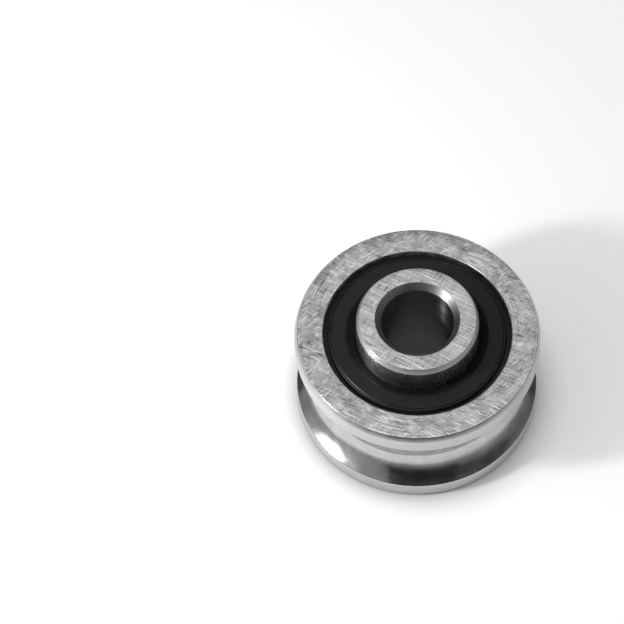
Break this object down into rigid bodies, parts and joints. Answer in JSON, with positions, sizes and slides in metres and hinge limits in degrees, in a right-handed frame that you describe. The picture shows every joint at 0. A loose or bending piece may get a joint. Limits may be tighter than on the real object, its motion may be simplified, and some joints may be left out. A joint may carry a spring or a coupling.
{
  "type": "slider pulley wheel",
  "caption": "Small sealed steel wheel with a U-groove for a round rail, turning on two rows of balls about an inner ring that stands proud on one side.",
  "frame": {"origin": "centre of the lower end face, where the inner and outer rings are flush", "axes": "+Z along the spin axis, towards the side where the inner ring stands proud; X and Y are any two directions across the wheel"},
  "size_m": [0.017, 0.017, 0.01],
  "materials": {
    "ring_steel": "ground end faces with fine crossed scratches, polished rail groove",
    "ball_steel": "lapped bearing steel balls, mirror bright",
    "cage_nylon": "moulded natural nylon, satin",
    "seal_rubber": "moulded black nitrile rubber, matte",
    "core_steel": "pressed thin steel sheet, dull"
  },
  "bodies": {
    "inner": {"inner_ring": "ring_steel"},
    "wheel": {"outer_ring": "ring_steel", "seal_upper": "seal_rubber", "seal_lower": "seal_rubber", "seal_core_upper": "core_steel", "seal_core_lower": "core_steel"},
    "cage_upper_row": {"cage_upper": "cage_nylon"},
    "ball_upper_01_body": {"ball_upper_01": "ball_steel"},
    "ball_upper_02_body": {"ball_upper_02": "ball_steel"},
    "ball_upper_03_body": {"ball_upper_03": "ball_steel"},
    "ball_upper_04_body": {"ball_upper_04": "ball_steel"},
    "ball_upper_05_body": {"ball_upper_05": "ball_steel"},
    "ball_upper_06_body": {"ball_upper_06": "ball_steel"},
    "ball_upper_07_body": {"ball_upper_07": "ball_steel"},
    "ball_upper_08_body": {"ball_upper_08": "ball_steel"},
    "ball_upper_09_body": {"ball_upper_09": "ball_steel"},
    "ball_upper_10_body": {"ball_upper_10": "ball_steel"},
    "cage_lower_row": {"cage_lower": "cage_nylon"},
    "ball_lower_01_body": {"ball_lower_01": "ball_steel"},
    "ball_lower_02_body": {"ball_lower_02": "ball_steel"},
    "ball_lower_03_body": {"ball_lower_03": "ball_steel"},
    "ball_lower_04_body": {"ball_lower_04": "ball_steel"},
    "ball_lower_05_body": {"ball_lower_05": "ball_steel"},
    "ball_lower_06_body": {"ball_lower_06": "ball_steel"},
    "ball_lower_07_body": {"ball_lower_07": "ball_steel"},
    "ball_lower_08_body": {"ball_lower_08": "ball_steel"},
    "ball_lower_09_body": {"ball_lower_09": "ball_steel"},
    "ball_lower_10_body": {"ball_lower_10": "ball_steel"}
  },
  "joints": [
    {"name": "wheel_spin", "type": "hinge", "parent": "inner", "child": "wheel", "pos_m": [0, 0, 0.0041], "axis": [0, 0, 1], "continuous": true},
    {"name": "cage_upper_orbit", "type": "hinge", "parent": "inner", "child": "cage_upper_row", "pos_m": [0, 0, 0.00545], "axis": [0, 0, 1], "continuous": true},
    {"name": "ball_upper_01_spin", "type": "hinge", "parent": "cage_upper_row", "child": "ball_upper_01_body", "pos_m": [0.00493, 0, 0.00545], "axis": [0, 0, 1], "continuous": true},
    {"name": "ball_upper_02_spin", "type": "hinge", "parent": "cage_upper_row", "child": "ball_upper_02_body", "pos_m": [0.00399, 0.0029, 0.00545], "axis": [0, 0, 1], "continuous": true},
    {"name": "ball_upper_03_spin", "type": "hinge", "parent": "cage_upper_row", "child": "ball_upper_03_body", "pos_m": [0.00152, 0.00469, 0.00545], "axis": [0, 0, 1], "continuous": true},
    {"name": "ball_upper_04_spin", "type": "hinge", "parent": "cage_upper_row", "child": "ball_upper_04_body", "pos_m": [-0.00152, 0.00469, 0.00545], "axis": [0, 0, 1], "continuous": true},
    {"name": "ball_upper_05_spin", "type": "hinge", "parent": "cage_upper_row", "child": "ball_upper_05_body", "pos_m": [-0.00399, 0.0029, 0.00545], "axis": [0, 0, 1], "continuous": true},
    {"name": "ball_upper_06_spin", "type": "hinge", "parent": "cage_upper_row", "child": "ball_upper_06_body", "pos_m": [-0.00493, 0, 0.00545], "axis": [0, 0, 1], "continuous": true},
    {"name": "ball_upper_07_spin", "type": "hinge", "parent": "cage_upper_row", "child": "ball_upper_07_body", "pos_m": [-0.00399, -0.0029, 0.00545], "axis": [0, 0, 1], "continuous": true},
    {"name": "ball_upper_08_spin", "type": "hinge", "parent": "cage_upper_row", "child": "ball_upper_08_body", "pos_m": [-0.00152, -0.00469, 0.00545], "axis": [0, 0, 1], "continuous": true},
    {"name": "ball_upper_09_spin", "type": "hinge", "parent": "cage_upper_row", "child": "ball_upper_09_body", "pos_m": [0.00152, -0.00469, 0.00545], "axis": [0, 0, 1], "continuous": true},
    {"name": "ball_upper_10_spin", "type": "hinge", "parent": "cage_upper_row", "child": "ball_upper_10_body", "pos_m": [0.00399, -0.0029, 0.00545], "axis": [0, 0, 1], "continuous": true},
    {"name": "cage_lower_orbit", "type": "hinge", "parent": "inner", "child": "cage_lower_row", "pos_m": [0, 0, 0.00275], "axis": [0, 0, 1], "continuous": true},
    {"name": "ball_lower_01_spin", "type": "hinge", "parent": "cage_lower_row", "child": "ball_lower_01_body", "pos_m": [0.00469, 0.00152, 0.00275], "axis": [0, 0, 1], "continuous": true},
    {"name": "ball_lower_02_spin", "type": "hinge", "parent": "cage_lower_row", "child": "ball_lower_02_body", "pos_m": [0.0029, 0.00399, 0.00275], "axis": [0, 0, 1], "continuous": true},
    {"name": "ball_lower_03_spin", "type": "hinge", "parent": "cage_lower_row", "child": "ball_lower_03_body", "pos_m": [0, 0.00493, 0.00275], "axis": [0, 0, 1], "continuous": true},
    {"name": "ball_lower_04_spin", "type": "hinge", "parent": "cage_lower_row", "child": "ball_lower_04_body", "pos_m": [-0.0029, 0.00399, 0.00275], "axis": [0, 0, 1], "continuous": true},
    {"name": "ball_lower_05_spin", "type": "hinge", "parent": "cage_lower_row", "child": "ball_lower_05_body", "pos_m": [-0.00469, 0.00152, 0.00275], "axis": [0, 0, 1], "continuous": true},
    {"name": "ball_lower_06_spin", "type": "hinge", "parent": "cage_lower_row", "child": "ball_lower_06_body", "pos_m": [-0.00469, -0.00152, 0.00275], "axis": [0, 0, 1], "continuous": true},
    {"name": "ball_lower_07_spin", "type": "hinge", "parent": "cage_lower_row", "child": "ball_lower_07_body", "pos_m": [-0.0029, -0.00399, 0.00275], "axis": [0, 0, 1], "continuous": true},
    {"name": "ball_lower_08_spin", "type": "hinge", "parent": "cage_lower_row", "child": "ball_lower_08_body", "pos_m": [0, -0.00493, 0.00275], "axis": [0, 0, 1], "continuous": true},
    {"name": "ball_lower_09_spin", "type": "hinge", "parent": "cage_lower_row", "child": "ball_lower_09_body", "pos_m": [0.0029, -0.00399, 0.00275], "axis": [0, 0, 1], "continuous": true},
    {"name": "ball_lower_10_spin", "type": "hinge", "parent": "cage_lower_row", "child": "ball_lower_10_body", "pos_m": [0.00469, -0.00152, 0.00275], "axis": [0, 0, 1], "continuous": true}
  ],
  "couplings": [
    {"joint": "cage_upper_orbit", "follows": "wheel_spin", "ratio": 0.60061},
    {"joint": "ball_upper_01_spin", "follows": "wheel_spin", "ratio": 2.3843},
    {"joint": "ball_upper_02_spin", "follows": "wheel_spin", "ratio": 2.3843},
    {"joint": "ball_upper_03_spin", "follows": "wheel_spin", "ratio": 2.3843},
    {"joint": "ball_upper_04_spin", "follows": "wheel_spin", "ratio": 2.3843},
    {"joint": "ball_upper_05_spin", "follows": "wheel_spin", "ratio": 2.3843},
    {"joint": "ball_upper_06_spin", "follows": "wheel_spin", "ratio": 2.3843},
    {"joint": "ball_upper_07_spin", "follows": "wheel_spin", "ratio": 2.3843},
    {"joint": "ball_upper_08_spin", "follows": "wheel_spin", "ratio": 2.3843},
    {"joint": "ball_upper_09_spin", "follows": "wheel_spin", "ratio": 2.3843},
    {"joint": "ball_upper_10_spin", "follows": "wheel_spin", "ratio": 2.3843},
    {"joint": "cage_lower_orbit", "follows": "wheel_spin", "ratio": 0.60061},
    {"joint": "ball_lower_01_spin", "follows": "wheel_spin", "ratio": 2.3843},
    {"joint": "ball_lower_02_spin", "follows": "wheel_spin", "ratio": 2.3843},
    {"joint": "ball_lower_03_spin", "follows": "wheel_spin", "ratio": 2.3843},
    {"joint": "ball_lower_04_spin", "follows": "wheel_spin", "ratio": 2.3843},
    {"joint": "ball_lower_05_spin", "follows": "wheel_spin", "ratio": 2.3843},
    {"joint": "ball_lower_06_spin", "follows": "wheel_spin", "ratio": 2.3843},
    {"joint": "ball_lower_07_spin", "follows": "wheel_spin", "ratio": 2.3843},
    {"joint": "ball_lower_08_spin", "follows": "wheel_spin", "ratio": 2.3843},
    {"joint": "ball_lower_09_spin", "follows": "wheel_spin", "ratio": 2.3843},
    {"joint": "ball_lower_10_spin", "follows": "wheel_spin", "ratio": 2.3843}
  ]
}
